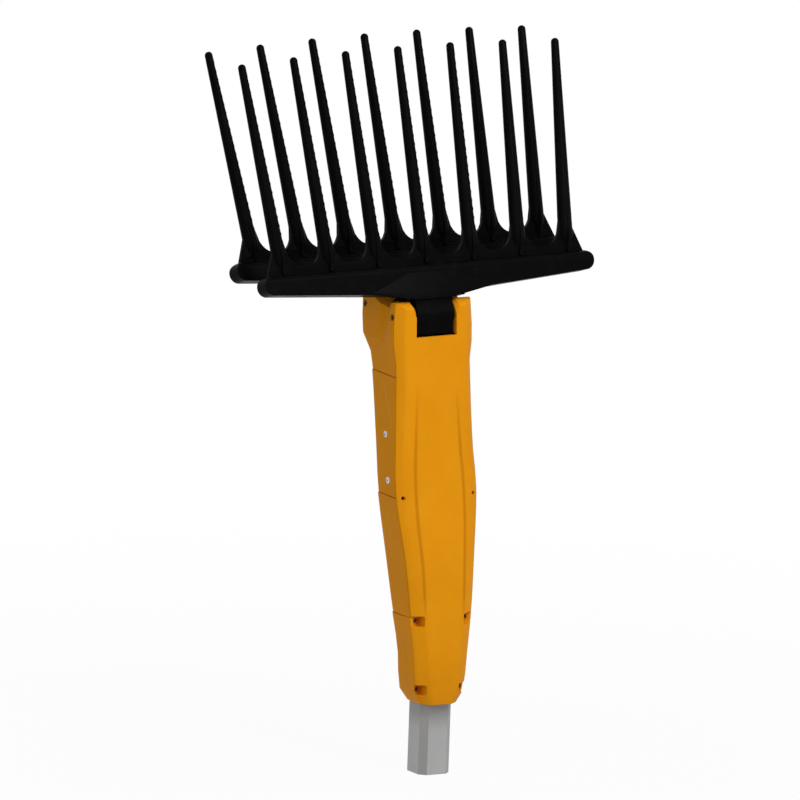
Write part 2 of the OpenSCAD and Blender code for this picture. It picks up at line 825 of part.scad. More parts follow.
// Planetary gearbox
sun_teeth = 12;
planet_teeth = 18;
ring_teeth = sun_teeth + 2*planet_teeth;
planet_at = (sun_teeth + planet_teeth)*gear_module/2;
ring_r = 23;
planet_pin_r = 2;
carrier_rim = 4.5;
box_screw_r = 1.25;
box_screw_at = 21;
box_head_r = 2.2;
box_head_h = 1.8;
sun_s0 = gear_s - 1;

module sun_gear() {
    color(steel) on_drive(sun_s0) linear_extrude(gear_len + 1.5) difference() {
        gear_outline(sun_teeth, gear_module, gear_slack, gear_add, gear_ded, 0);
        circle(motor_shaft_r + press_gap);
    }
}

module planet(k) {
    color(bronze) on_drive(gear_s) rotate([0, 0, k*120]) translate([planet_at, 0, 0])
        linear_extrude(gear_len) difference() {
            gear_outline(planet_teeth, gear_module, gear_slack, gear_add, gear_ded, 180/planet_teeth);
            circle(planet_pin_r + run_gap);
        }
}

module planet_1() {
    planet(0);
}

module planet_2() {
    planet(1);
}

module planet_3() {
    planet(2);
}

module planet_pins() {
    color(steel) on_drive(gear_s) for (k = [0:2])
        rotate([0, 0, k*120]) translate([planet_at, 0, 0]) cylinder(r = planet_pin_r, h = carrier_s + carrier_t - gear_s);
}

module planet_carrier() {
    color(steel) {
        on_drive(carrier_s) difference() {
            cylinder(r = planet_at + carrier_rim, h = carrier_t);
            for (k = [0:2]) rotate([0, 0, k*120]) translate([planet_at, 0, -1])
                cylinder(r = planet_pin_r + press_gap, h = far);
        }
        on_drive(carrier_s) translate([0, 0, carrier_t - 0.01])
            cylinder(r = shaft_r, h = crank_s + crank_t - carrier_s - carrier_t);
    }
}

module box_screw_places() {
    for (turn = [45:90:315]) rotate([0, 0, turn]) translate([box_screw_at, 0, 0]) children();
}

module ring_gear() {
    color(grey) on_drive(gearbox_s) linear_extrude(gearbox_len) difference() {
        circle(ring_r);
        gear_outline(ring_teeth, gear_module, -gear_slack, gear_ded + 0.1, gear_add, 180/ring_teeth);
        box_screw_places() circle(box_screw_r + press_gap);
    }
}

bearing_r = 8;

module gearbox_cover() {
    color(grey) on_drive(gearbox_s + gearbox_len) difference() {
        cylinder(r = ring_r, h = cover_t);
        translate([0, 0, -1]) cylinder(r = bearing_r + press_gap, h = far);
        box_screw_places() translate([0, 0, -1]) cylinder(r = box_screw_r + press_gap, h = far);
    }
}

module gearbox_screws() {
    color(steel) on_drive(gearbox_s - plate_t) box_screw_places() {
        cylinder(r = box_screw_r, h = plate_t + gearbox_len + cover_t + 0.01);
        translate([0, 0, plate_t + gearbox_len + cover_t]) cylinder(r = box_head_r, h = box_head_h);
    }
}

// Bearing with a shield sunk between its races
shield_d = 0.8;
race_share = 0.3;
bearing_sink = 0.5;

module ball_bearing(outer, inner, height) {
    race = (outer - inner)*race_share;
    difference() {
        cylinder(r = outer, h = height);
        translate([0, 0, -1]) cylinder(r = inner, h = far);
        translate([0, 0, height - shield_d]) difference() {
            cylinder(r = outer - race, h = 2*shield_d);
            cylinder(r = inner + race, h = far, center = true);
        }
    }
}

module output_bearing() {
    color(steel) on_drive(gearbox_s + gearbox_len + bearing_sink)
        ball_bearing(bearing_r, shaft_r + run_gap, cover_t - 2*bearing_sink);
}

// Plates that carry the drive, fitted inside the shells
module inner_plate(s, t) {
    intersection() {
        loft(heights(cavity_z0, cavity_z1, 15), shell_wall + seat_gap, shell_wall + seat_gap);
        on_drive(s) translate([-far/2, -far/2, 0]) cube([far, far, t]);
    }
}

module motor_plate() {
    color(steel) difference() {
        inner_plate(motor_s + motor_len, plate_t);
        on_drive(motor_s + motor_len) {
            translate([0, 0, -1]) cylinder(r = motor_shaft_r + 1, h = far);
            box_screw_places() translate([0, 0, -1]) cylinder(r = box_screw_r + press_gap, h = far);
        }
        side_screw_holes();
        side_bosses(0, far*2);
    }
}

upper_bearing_r = 11;

module bearing_plate() {
    color(grey) difference() {
        inner_plate(bearing_plate_s, bearing_plate_t);
        on_drive(bearing_plate_s - 1) cylinder(r = upper_bearing_r + press_gap, h = far);
    }
}

module upper_bearing() {
    color(steel) on_drive(bearing_plate_s + bearing_sink)
        ball_bearing(upper_bearing_r, shaft_r + run_gap, bearing_plate_t - 2*bearing_sink);
}

// Crank
crank_r = 12;
crank_collar = 2;

module crank_disc() {
    color(steel) on_drive(crank_s) {
        difference() {
            cylinder(r = crank_r, h = crank_t);
            translate([0, 0, -1]) cylinder(r = shaft_r + press_gap, h = crank_t + 1);
        }
        translate([crank_throw, 0, crank_t])
            cylinder(r = crank_pin_r, h = crank_bearing_s + crank_bearing_h + 1 - crank_s - crank_t);
        translate([0, 0, crank_t]) cylinder(r = shaft_r + crank_collar, h = crank_collar);
    }
}

module crank_bearing() {
    color(grey) on_drive(crank_bearing_s) translate([crank_throw, 0, 0])
        ball_bearing(crank_bearing_r, crank_pin_r + press_gap, crank_bearing_h);
}

pole_tube();
front_shell();
rear_clamp();
lower_rear_cover();
upper_rear_cover();
fork_housing();
top_guard();
clamp_screws();
side_screws();
front_pivot_pin();
rear_pivot_pin();
pivot_clips();
front_comb();
front_bushes();
front_rocker();
rear_comb();
rear_bushes();
rear_sector();
motor_can();
motor_magnets();
motor_end_cap();
motor_terminals();
motor_rotor();
sun_gear();
planet_1();
planet_2();
planet_3();
planet_carrier();
planet_pins();
ring_gear();
gearbox_cover();
gearbox_screws();
output_bearing();
motor_plate();
bearing_plate();
upper_bearing();
crank_disc();
crank_bearing();
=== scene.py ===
import json
import math

import bmesh
import bpy
from mathutils import Matrix, Vector
from mathutils.bvhtree import BVHTree


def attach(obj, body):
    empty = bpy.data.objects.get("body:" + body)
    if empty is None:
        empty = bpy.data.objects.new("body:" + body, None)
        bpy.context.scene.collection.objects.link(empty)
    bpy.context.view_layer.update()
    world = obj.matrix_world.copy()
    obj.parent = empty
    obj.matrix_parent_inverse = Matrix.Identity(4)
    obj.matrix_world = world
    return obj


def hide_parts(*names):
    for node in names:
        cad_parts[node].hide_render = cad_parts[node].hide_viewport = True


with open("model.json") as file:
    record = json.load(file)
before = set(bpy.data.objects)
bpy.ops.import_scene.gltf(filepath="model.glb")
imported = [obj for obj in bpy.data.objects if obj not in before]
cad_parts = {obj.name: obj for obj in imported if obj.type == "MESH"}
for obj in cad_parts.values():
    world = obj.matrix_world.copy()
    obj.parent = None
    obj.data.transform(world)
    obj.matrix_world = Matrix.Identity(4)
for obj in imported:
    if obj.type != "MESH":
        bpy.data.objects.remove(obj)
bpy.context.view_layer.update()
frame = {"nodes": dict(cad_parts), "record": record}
nodes = frame["nodes"]
bodyOf = {n: body for body, names in frame["record"]["behaviour"]["bodies"].items() for n in names}
finishOf = {row["node"]: row["material_slot"] for row in frame["record"]["subparts"]}
print("frame loaded:", len(nodes), "nodes")


def metres(millimetres):
    return millimetres / 1000


# Node helpers

def addNode(tree, kind, place=(0, 0), **values):
    node = tree.nodes.new(kind)
    node.location = place
    for name, value in values.items():
        setattr(node, name, value)
    return node


def setInputs(node, values):
    for label, value in values.items():
        node.inputs[label].default_value = value


def join(tree, source, sink):
    tree.links.new(source, sink)


# A number or a colour is set on the input, and a socket is joined to it
def feed(tree, value, sink):
    if isinstance(value, (int, float, tuple)):
        sink.default_value = value
    else:
        join(tree, value, sink)


def newGroup(name, inputs, outputs):
    tree = bpy.data.node_groups.new(name, "ShaderNodeTree")
    for label, value in inputs.items():
        socket = tree.interface.new_socket(label, in_out="INPUT", socket_type="NodeSocketFloat")
        socket.default_value = value
    for label in outputs:
        tree.interface.new_socket(label, in_out="OUTPUT", socket_type="NodeSocketFloat")
    return tree, addNode(tree, "NodeGroupInput", (-1300, 0)), addNode(tree, "NodeGroupOutput", (1100, 0))


def noiseOn(tree, where, scale, detail, roughness, place):
    noise = addNode(tree, "ShaderNodeTexNoise", place)
    for label, value in (("Vector", where), ("Scale", scale), ("Detail", detail), ("Roughness", roughness)):
        feed(tree, value, noise.inputs[label])
    return noise.outputs["Fac"]


def rampOf(tree, source, low, high, lowOut=0.0, highOut=1.0, place=(0, 0)):
    ramp = addNode(tree, "ShaderNodeMapRange", place)
    labels = ("Value", "From Min", "From Max", "To Min", "To Max")
    for label, value in zip(labels, (source, low, high, lowOut, highOut)):
        feed(tree, value, ramp.inputs[label])
    return ramp.outputs["Result"]


def mathOf(tree, operation, first, second=0.0, place=(0, 0)):
    step = addNode(tree, "ShaderNodeMath", place, operation=operation)
    for sink, value in zip(step.inputs, (first, second)):
        feed(tree, value, sink)
    return step.outputs[0]


def offsetOf(tree, first, second, place):
    gap = mathOf(tree, "SUBTRACT", first, second, place)
    return mathOf(tree, "ABSOLUTE", gap, place=(place[0] + 150, place[1]))


def overlapOf(tree, masks, place):
    held = masks[0]
    for k, mask in enumerate(masks[1:]):
        held = mathOf(tree, "MULTIPLY", held, mask, (place[0] + 150 * k, place[1]))
    return held


def blendColours(tree, mask, first, second, place):
    mix = addNode(tree, "ShaderNodeMix", place, data_type="RGBA")
    for k, value in ((0, mask), (6, first), (7, second)):     # the factor and the two colours
        feed(tree, value, mix.inputs[k])
    return mix.outputs[2]


# Moulded skin: spark grain, slow shade drift and rubbed patches
skinSet = {
    "scales": {"Grain Scale": 2400.0, "Drift Scale": 14.0, "Rub Scale": 60.0},
    "grain": (2.0, 0.6),           # detail and roughness of each noise
    "drift": (4.0, 0.55),
    "rub": (6.0, 0.7),
    "driftSpan": (0.3, 0.7),
    "rubSpan": (0.5, 0.75),
}


def makeMouldedSkin():
    tree, given, out = newGroup("mouldedSkin", skinSet["scales"], ("Height", "Drift", "Rub"))
    where = addNode(tree, "ShaderNodeTexCoord", (-700, 0)).outputs["Object"]
    grain = noiseOn(tree, where, given.outputs["Grain Scale"], *skinSet["grain"], (-400, 200))
    drift = noiseOn(tree, where, given.outputs["Drift Scale"], *skinSet["drift"], (-400, 0))
    rub = noiseOn(tree, where, given.outputs["Rub Scale"], *skinSet["rub"], (-400, -200))
    join(tree, grain, out.inputs["Height"])
    join(tree, rampOf(tree, drift, *skinSet["driftSpan"], place=(-100, 0)), out.inputs["Drift"])
    join(tree, rampOf(tree, rub, *skinSet["rubSpan"], place=(-100, -200)), out.inputs["Rub"])
    return tree


# Drawn metal: fine lines along the piece and a soft mottle
drawnSet = {
    "scales": {"Across": 900.0, "Along": 6.0, "Mottle": 40.0},
    "lines": (1.0, 3.0, 0.6),      # scale, detail and roughness
    "mottle": (5.0, 0.6),
    "lineSpan": (0.25, 0.75),
    "mottleSpan": (0.3, 0.7),
    "lineShare": 0.4,              # of the tone, and the mottle gives the rest
}


def makeDrawnLines():
    tree, given, out = newGroup("drawnLines", drawnSet["scales"], ("Lines", "Mottle"))
    where = addNode(tree, "ShaderNodeTexCoord", (-900, 0)).outputs["Object"]
    stretch = addNode(tree, "ShaderNodeCombineXYZ", (-900, -200))
    for axis, label in (("X", "Across"), ("Y", "Across"), ("Z", "Along")):
        join(tree, given.outputs[label], stretch.inputs[axis])
    scaled = addNode(tree, "ShaderNodeVectorMath", (-700, 0), operation="MULTIPLY")
    join(tree, where, scaled.inputs[0])
    join(tree, stretch.outputs[0], scaled.inputs[1])
    lines = noiseOn(tree, scaled.outputs[0], *drawnSet["lines"], (-400, 100))
    mottle = noiseOn(tree, where, given.outputs["Mottle"], *drawnSet["mottle"], (-400, -150))
    join(tree, rampOf(tree, lines, *drawnSet["lineSpan"], place=(-100, 100)), out.inputs["Lines"])
    join(tree, rampOf(tree, mottle, *drawnSet["mottleSpan"], place=(-100, -150)), out.inputs["Mottle"])
    return tree


# Lines of the moulded shells, in millimetres: creases beside the panels, with painted shade, the parting line
# and a ridge, with a painted highlight
shellLines = {
    "halves": {"Crease Half": 3.0, "Parting Half": 0.4, "Ridge Half": 0.9},
    "heights": (70.0, 490.0),
    "panelSpan": (10.0, 30.0),
    "panel": [(70, 10.5), (84, 14), (126, 18.5), (167, 22), (212, 24), (285, 27.5), (332, 25.5),
              (405, 21.5), (437, 20.5), (490, 20.5)],             # height and half width of the front panel
    "creaseStarts": (155.0, 185.0),
    "creaseEnds": (400.0, 330.0),
    "creaseFaces": (-0.1, -0.4),                                  # only where the shell faces forward
    "partingSpan": (-20.0, 30.0),
    "parting": [(70, -20), (160, -15.5), (212, -10), (285, 3), (332, 10.5), (405, 17.5), (437, 20.5),
                (490, 23.6)],                                     # height and Y
    "partingCore": 1 / 3,                                         # share of its half width that is full
    "partingFrom": (159.0, 161.0),
    "ridge": ((18.0, 350.0), (41.0, 394.0)),                      # Y and Z, back to the fork's seam
    "ridgeFades": (6.0, 4.0),
    "ridgeFlank": (34.0, 36.0),
}


def shellSpan(key):
    return [metres(v) for v in shellLines[key]]


# Where a line of the shell runs at each height
def curveOf(tree, height, key, place):
    low, high = shellLines["heights"]
    least, most = shellLines[key + "Span"]
    spots = [((z - low) / (high - low), (v - least) / (most - least)) for z, v in shellLines[key]]
    curve = addNode(tree, "ShaderNodeFloatCurve", place)
    points = curve.mapping.curves[0].points
    points[0].location = spots[0]
    points[-1].location = spots[-1]
    for spot in spots[1:-1]:
        points.new(*spot)
    curve.mapping.update()
    join(tree, height, curve.inputs["Value"])
    return rampOf(tree, curve.outputs[0], 0, 1, *shellSpan(key + "Span"), (place[0] + 250, place[1]))


# Where the creases run on forward faces: painted shade in the colour and a dent in the bump
def creaseMask(tree, given, surface, aside, z, height):
    facing = addNode(tree, "ShaderNodeSeparateXYZ", (-900, 300))
    join(tree, surface.outputs["Normal"], facing.inputs[0])
    off = offsetOf(tree, aside, curveOf(tree, height, "panel", (-450, 200)), (50, 200))
    near = rampOf(tree, off, given.outputs["Crease Half"], 0.0, place=(350, 200))
    near.node.interpolation_type = "SMOOTHSTEP"
    starts = rampOf(tree, z, *shellSpan("creaseStarts"), place=(350, 0))
    ends = rampOf(tree, z, *shellSpan("creaseEnds"), place=(350, -120))
    front = rampOf(tree, facing.outputs["Y"], *shellLines["creaseFaces"], place=(350, -240))
    return overlapOf(tree, (near, starts, ends, front), (550, 100))


def partingMask(tree, given, y, z, height):
    off = offsetOf(tree, y, curveOf(tree, height, "parting", (-450, -400)), (50, -400))
    half = given.outputs["Parting Half"]
    core = mathOf(tree, "MULTIPLY", half, shellLines["partingCore"], (200, -550))
    near = rampOf(tree, off, half, core, place=(350, -400))
    above = rampOf(tree, z, *shellSpan("partingFrom"), place=(350, -550))
    return overlapOf(tree, (near, above), (550, -400))


# Where the ridge runs on the flanks: a painted highlight in the colour and a raised line in the bump
def ridgeMask(tree, given, aside, y, z):
    (y0, z0), (y1, z1) = ([metres(v) for v in end] for end in shellLines["ridge"])
    length = math.hypot(y1 - y0, z1 - z0)
    dy, dz = (y1 - y0) / length, (z1 - z0) / length
    fromY = mathOf(tree, "SUBTRACT", y, y0, (-450, -700))
    fromZ = mathOf(tree, "SUBTRACT", z, z0, (-450, -900))
    along = mathOf(tree, "ADD", mathOf(tree, "MULTIPLY", fromY, dy, (-250, -650)),
                   mathOf(tree, "MULTIPLY", fromZ, dz, (-250, -800)), (-50, -700))
    off = offsetOf(tree, mathOf(tree, "MULTIPLY", fromY, dz, (-250, -950)),
                   mathOf(tree, "MULTIPLY", fromZ, dy, (-250, -1100)), (-50, -1000))
    fadeIn, fadeOut = shellSpan("ridgeFades")
    near = rampOf(tree, off, given.outputs["Ridge Half"], 0.0, place=(250, -1000))
    starts = rampOf(tree, along, 0.0, fadeIn, place=(250, -700))
    ends = rampOf(tree, along, length, length - fadeOut, place=(250, -850))
    flank = rampOf(tree, aside, *shellSpan("ridgeFlank"), place=(250, -1150))
    return overlapOf(tree, (near, starts, ends, flank), (550, -800))


def makeShellLines():
    halves = {label: metres(v) for label, v in shellLines["halves"].items()}
    tree, given, out = newGroup("shellLines", halves, ("Crease", "Parting", "Ridge"))
    surface = addNode(tree, "ShaderNodeTexCoord", (-1100, 0))
    where = addNode(tree, "ShaderNodeSeparateXYZ", (-900, 0))
    join(tree, surface.outputs["Object"], where.inputs[0])
    x, y, z = where.outputs
    aside = mathOf(tree, "ABSOLUTE", x, place=(-700, 100))
    height = rampOf(tree, z, *shellSpan("heights"), place=(-700, -300))
    join(tree, creaseMask(tree, given, surface, aside, z, height), out.inputs["Crease"])
    join(tree, partingMask(tree, given, y, z, height), out.inputs["Parting"])
    join(tree, ridgeMask(tree, given, aside, y, z), out.inputs["Ridge"])
    return tree


mouldedSkin = makeMouldedSkin()
drawnLines = makeDrawnLines()
shellMarks = makeShellLines()


# Finishes, with edge radius and bump depth in millimetres

edgeSamples = 6


def newMaterial(name, look):
    material = bpy.data.materials.new(name)
    material.use_nodes = True
    tree = material.node_tree
    shader = tree.nodes["Principled BSDF"]
    shader.location = (1200, 0)
    tree.nodes["Material Output"].location = (1500, 0)
    softEdge = addNode(tree, "ShaderNodeBevel", (300, -400), samples=edgeSamples)
    setInputs(softEdge, {"Radius": metres(look["edge"])})
    bump = addNode(tree, "ShaderNodeBump", (750, -400))
    setInputs(bump, {"Strength": look["relief"], "Distance": metres(look["depth"])})
    join(tree, softEdge.outputs[0], bump.inputs["Normal"])
    join(tree, bump.outputs[0], shader.inputs["Normal"])
    return material, tree, shader, bump


# Tints the shell lines into the colour: painted shade in the creases, the parting line's dark and a painted
# highlight on the ridge; creases and ridge also shape the bump
def addShellLines(tree, shader, bump, look):
    lines = addNode(tree, "ShaderNodeGroup", (-300, -400), node_tree=shellMarks)
    colour = shader.inputs["Base Color"].links[0].from_socket
    for k, (label, (share, tint)) in enumerate(look["marks"].items()):
        mask = mathOf(tree, "MULTIPLY", lines.outputs[label], share, (450 + 150 * k, 450))
        colour = blendColours(tree, mask, colour, tint, (600 + 150 * k, 200))
    join(tree, colour, shader.inputs["Base Color"])
    dent = addNode(tree, "ShaderNodeBump", (550, -400))
    setInputs(dent, {"Strength": look["dent"], "Distance": metres(look["dentDepth"])})
    relief = mathOf(tree, "SUBTRACT", lines.outputs["Ridge"], lines.outputs["Crease"], (300, -600))
    join(tree, relief, dent.inputs["Height"])
    join(tree, bump.inputs["Normal"].links[0].from_socket, dent.inputs["Normal"])
    join(tree, dent.outputs[0], bump.inputs["Normal"])


def mouldedPlastic(name, look):
    material, tree, shader, bump = newMaterial(name, look)
    skin = addNode(tree, "ShaderNodeGroup", (-300, 0), node_tree=mouldedSkin)
    setInputs(skin, {"Grain Scale": look["grain"], "Rub Scale": look["rubs"]})
    drifted = blendColours(tree, skin.outputs["Drift"], look["deep"], look["base"], (100, 200))
    rubbed = mathOf(tree, "MULTIPLY", skin.outputs["Rub"], look["rubShare"], (100, 0))
    join(tree, blendColours(tree, rubbed, drifted, look["pale"], (350, 200)), shader.inputs["Base Color"])
    join(tree, rampOf(tree, skin.outputs["Rub"], 0, 1, *look["rough"], (350, 0)), shader.inputs["Roughness"])
    join(tree, skin.outputs["Height"], bump.inputs["Height"])
    setInputs(shader, {"Specular IOR Level": look["gloss"]})
    if "marks" in look:
        addShellLines(tree, shader, bump, look)
    return material


# Painted shade: the tube's corner facets are darkened, and so is its top, where the housing sits on it and
# shades it
def makePaintedShade(tree, look):
    surface = addNode(tree, "ShaderNodeTexCoord", (-900, 500))
    normal = addNode(tree, "ShaderNodeSeparateXYZ", (-700, 600))
    where = addNode(tree, "ShaderNodeSeparateXYZ", (-700, 400))
    join(tree, surface.outputs["Normal"], normal.inputs[0])
    join(tree, surface.outputs["Object"], where.inputs[0])
    slant = mathOf(tree, "MULTIPLY", normal.outputs["X"], normal.outputs["Y"], (-500, 600))
    slant = mathOf(tree, "ABSOLUTE", slant, place=(-350, 600))
    corner = rampOf(tree, slant, *look["corner"], place=(-200, 600))
    top = rampOf(tree, where.outputs["Z"], *(metres(v) for v in look["top"]), place=(-200, 400))
    return mathOf(tree, "MAXIMUM", corner, top, (50, 500))


def workedMetal(name, look):
    material, tree, shader, bump = newMaterial(name, look)
    drawn = addNode(tree, "ShaderNodeGroup", (-300, 0), node_tree=drawnLines)
    setInputs(drawn, {"Across": look["across"], "Along": look["along"], "Mottle": look["mottle"]})
    lines, mottle = drawn.outputs["Lines"], drawn.outputs["Mottle"]
    share = drawnSet["lineShare"]
    mottled = mathOf(tree, "MULTIPLY", mottle, 1 - share, (-50, 150))
    tone = mathOf(tree, "ADD", mottled, mathOf(tree, "MULTIPLY", lines, share, (-50, 0)), (120, 100))
    colour = blendColours(tree, tone, look["deep"], look["base"], (350, 200))
    # painted shade on the tube's corner facets and on its top under the housing
    if "shadeTint" in look:
        colour = blendColours(tree, makePaintedShade(tree, look), colour, look["shadeTint"], (550, 200))
    join(tree, colour, shader.inputs["Base Color"])
    join(tree, rampOf(tree, tone, 0, 1, *look["rough"], (350, 0)), shader.inputs["Roughness"])
    join(tree, lines, bump.inputs["Height"])
    setInputs(shader, {"Metallic": look["metal"]})
    return material


plasticLooks = {
    "yellow_plastic": {
        "base": (0.80, 0.308, 0.005, 1), "deep": (0.74, 0.274, 0.004, 1), "pale": (0.86, 0.38, 0.03, 1),
        "rubs": 55.0, "rubShare": 0.1, "rough": (0.40, 0.54), "gloss": 0.04, "edge": 0.8,
        "grain": 2200.0, "relief": 0.22, "depth": 0.06,
        "marks": {                                     # how much of each tint
            # crease tint: painted shade in the creases beside the panel
            "Crease": (0.66, (0.48, 0.16, 0.002, 1)),
            "Parting": (0.3, (0.3, 0.09, 0.003, 1)),
            # ridge tint: a painted highlight along the ridge
            "Ridge": (0.7, (0.95, 0.52, 0.06, 1)),
        },
        "dent": 0.6, "dentDepth": 0.9,
    },
    "black_plastic": {
        "base": (0.0030, 0.0030, 0.0033, 1), "deep": (0.0021, 0.0021, 0.0024, 1),
        "pale": (0.012, 0.012, 0.013, 1),
        "rubs": 70.0, "rubShare": 0.16, "rough": (0.3, 0.42), "gloss": 0.014, "edge": 0.9,
        "grain": 2600.0, "relief": 0.2, "depth": 0.05,
    },
    "black_trim": {
        "base": (0.006, 0.006, 0.0066, 1), "deep": (0.004, 0.004, 0.0045, 1), "pale": (0.02, 0.02, 0.021, 1),
        "rubs": 70.0, "rubShare": 0.2, "rough": (0.5, 0.66), "gloss": 0.02, "edge": 0.6,
        "grain": 2000.0, "relief": 0.25, "depth": 0.06,
    },
}

metalLooks = {
    "pole_aluminium": {
        "base": (0.44, 0.44, 0.435, 1), "deep": (0.39, 0.39, 0.39, 1), "rough": (0.5, 0.4), "metal": 0.3,
        "across": 1400.0, "along": 5.0, "mottle": 30.0, "relief": 0.05, "depth": 0.03, "edge": 0.6,
        # the shade tint is painted shade for the corner facets and the top under the housing
        "shadeTint": (0.27, 0.265, 0.26, 1), "corner": (0.25, 0.45, 0.0, 0.75), "top": (45.0, 62.0),
    },
    "steel": {
        "base": (0.62, 0.63, 0.65, 1), "deep": (0.47, 0.48, 0.5, 1), "rough": (0.4, 0.24), "metal": 1.0,
        "across": 1500.0, "along": 120.0, "mottle": 140.0, "relief": 0.1, "depth": 0.03, "edge": 0.3,
    },
    "dark_steel": {
        "base": (0.11, 0.095, 0.07, 1), "deep": (0.07, 0.06, 0.045, 1), "rough": (0.55, 0.42), "metal": 0.9,
        "across": 1300.0, "along": 200.0, "mottle": 120.0, "relief": 0.12, "depth": 0.03, "edge": 0.3,
    },
    "cast_alloy": {
        "base": (0.52, 0.52, 0.52, 1), "deep": (0.4, 0.4, 0.41, 1), "rough": (0.58, 0.42), "metal": 1.0,
        "across": 700.0, "along": 700.0, "mottle": 90.0, "relief": 0.3, "depth": 0.08, "edge": 0.6,
    },
    "motor_steel": {
        "base": (0.55, 0.55, 0.54, 1), "deep": (0.42, 0.42, 0.42, 1), "rough": (0.42, 0.28), "metal": 1.0,
        "across": 900.0, "along": 20.0, "mottle": 60.0, "relief": 0.1, "depth": 0.03, "edge": 0.5,
    },
    "ferrite": {
        "base": (0.05, 0.05, 0.053, 1), "deep": (0.03, 0.03, 0.033, 1), "rough": (0.75, 0.6), "metal": 0.0,
        "across": 900.0, "along": 900.0, "mottle": 160.0, "relief": 0.3, "depth": 0.05, "edge": 0.4,
    },
    "bronze": {
        "base": (0.58, 0.36, 0.15, 1), "deep": (0.42, 0.25, 0.1, 1), "rough": (0.45, 0.3), "metal": 1.0,
        "across": 1200.0, "along": 60.0, "mottle": 110.0, "relief": 0.15, "depth": 0.03, "edge": 0.3,
    },
}

finishes = {slot: mouldedPlastic(slot, look) for slot, look in plasticLooks.items()}
finishes.update({slot: workedMetal(slot, look) for slot, look in metalLooks.items()})
print("finishes made:", len(finishes))


# Pieces, with their settings in millimetres

mergeWithin = 0.002


def newObject(name, data):
    thing = bpy.data.objects.new(name, data)
    bpy.context.scene.collection.objects.link(thing)
    return thing


def meshFrom(bm, name):
    mesh = bpy.data.meshes.new(name)
    bm.to_mesh(mesh)
    bm.free()
    return mesh


# A node's mesh is loose triangles, so its copy is merged
def mergedCopy(node):
    bm = bmesh.new()
    bm.from_mesh(nodes[node].data)
    bmesh.ops.remove_doubles(bm, verts=bm.verts, dist=metres(mergeWithin))
    bmesh.ops.dissolve_degenerate(bm, edges=bm.edges, dist=metres(mergeWithin))
    return bm


def shadeSmooth(mesh):
    mesh.polygons.foreach_set("use_smooth", [True] * len(mesh.polygons))


def evaluatedMesh(piece):
    graph = bpy.context.evaluated_depsgraph_get()
    return bpy.data.meshes.new_from_object(piece.evaluated_get(graph), depsgraph=graph)


def bakeModifiers(piece):
    piece.data = evaluatedMesh(piece)
    piece.modifiers.clear()


def runTree(piece, tree, values):
    modifier = piece.modifiers.new(tree.name, "NODES")
    modifier.node_group = tree
    for item in tree.interface.items_tree:
        if item.name in values:
            modifier[item.identifier] = values[item.name]
    bakeModifiers(piece)


def newTree(name, inputs, output):
    tree = bpy.data.node_groups.new(name, "GeometryNodeTree")
    for label, kind in inputs.items():
        tree.interface.new_socket(label, in_out="INPUT", socket_type="NodeSocket" + kind)
    tree.interface.new_socket(output, in_out="OUTPUT", socket_type="NodeSocketGeometry")
    return tree, addNode(tree, "NodeGroupInput", (-700, 0))


def namedValue(tree, name, kind, place):
    value = addNode(tree, "GeometryNodeInputNamedAttribute", place, data_type=kind)
    setInputs(value, {"Name": name})
    return value.outputs["Attribute"]


# Every tree ends in real faces with their finish on
def endTree(tree, given, shape):
    solid = addNode(tree, "GeometryNodeRealizeInstances", (300, 0))
    dressed = addNode(tree, "GeometryNodeSetMaterial", (500, 0))
    out = addNode(tree, "NodeGroupOutput", (700, 0))
    join(tree, shape, solid.inputs[0])
    join(tree, solid.outputs[0], dressed.inputs["Geometry"])
    join(tree, given.outputs["Finish"], dressed.inputs["Material"])
    join(tree, dressed.outputs[0], out.inputs[0])


def dressMesh(mesh, slot):
    mesh.materials.clear()
    mesh.materials.append(finishes[slot])


# A new piece moves with a node, and replaces it or lies on it
def placePiece(piece, node, replaced=True):
    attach(piece, bodyOf[node])
    if replaced:
        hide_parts(node)


# Screws: one head mesh of each kind, set on its places by Geometry Nodes
clampScrews = {
    "replaces": "clamp_screws", "axis": 1, "out": -1, "seat": 9.3, "steps": 48,
    "headR": 2.8, "headH": 1.8, "crown": 0.0, "edge": 0.4, "edgeCut": 0.3, "shankR": 2.4, "shankLen": 19.0,
    "recess": "hex", "recessR": 1.6, "recessD": 1.3, "recessFloor": 0.85, "sharpFrom": 35.0,
}
sideScrews = {
    "replaces": "side_screws", "axis": 0, "out": 0, "seat": 1.8, "steps": 48,
    "headR": 3.55, "headH": 1.9, "crown": 0.55, "edge": 0.35, "edgeCut": 0.3, "shankR": 1.75, "shankLen": 7.0,
    "recess": "cross", "crossArm": 0.24, "recessR": 2.1, "recessD": 1.3, "recessFloor": 0.85,
    "sharpFrom": 35.0,
}


# Radius of the recess at an angle
def recessAt(look, angle):
    if look["recess"] == "hex":
        return look["recessR"] * math.cos(math.pi / 6) / math.cos((angle % (math.pi / 3)) - math.pi / 6)
    along, across = look["recessR"], look["recessR"] * look["crossArm"]
    least = 1e-6           # keeps the divisions finite
    c, s = max(abs(math.cos(angle)), least), max(abs(math.sin(angle)), least)
    return max(min(along / c, across / s), min(across / c, along / s))


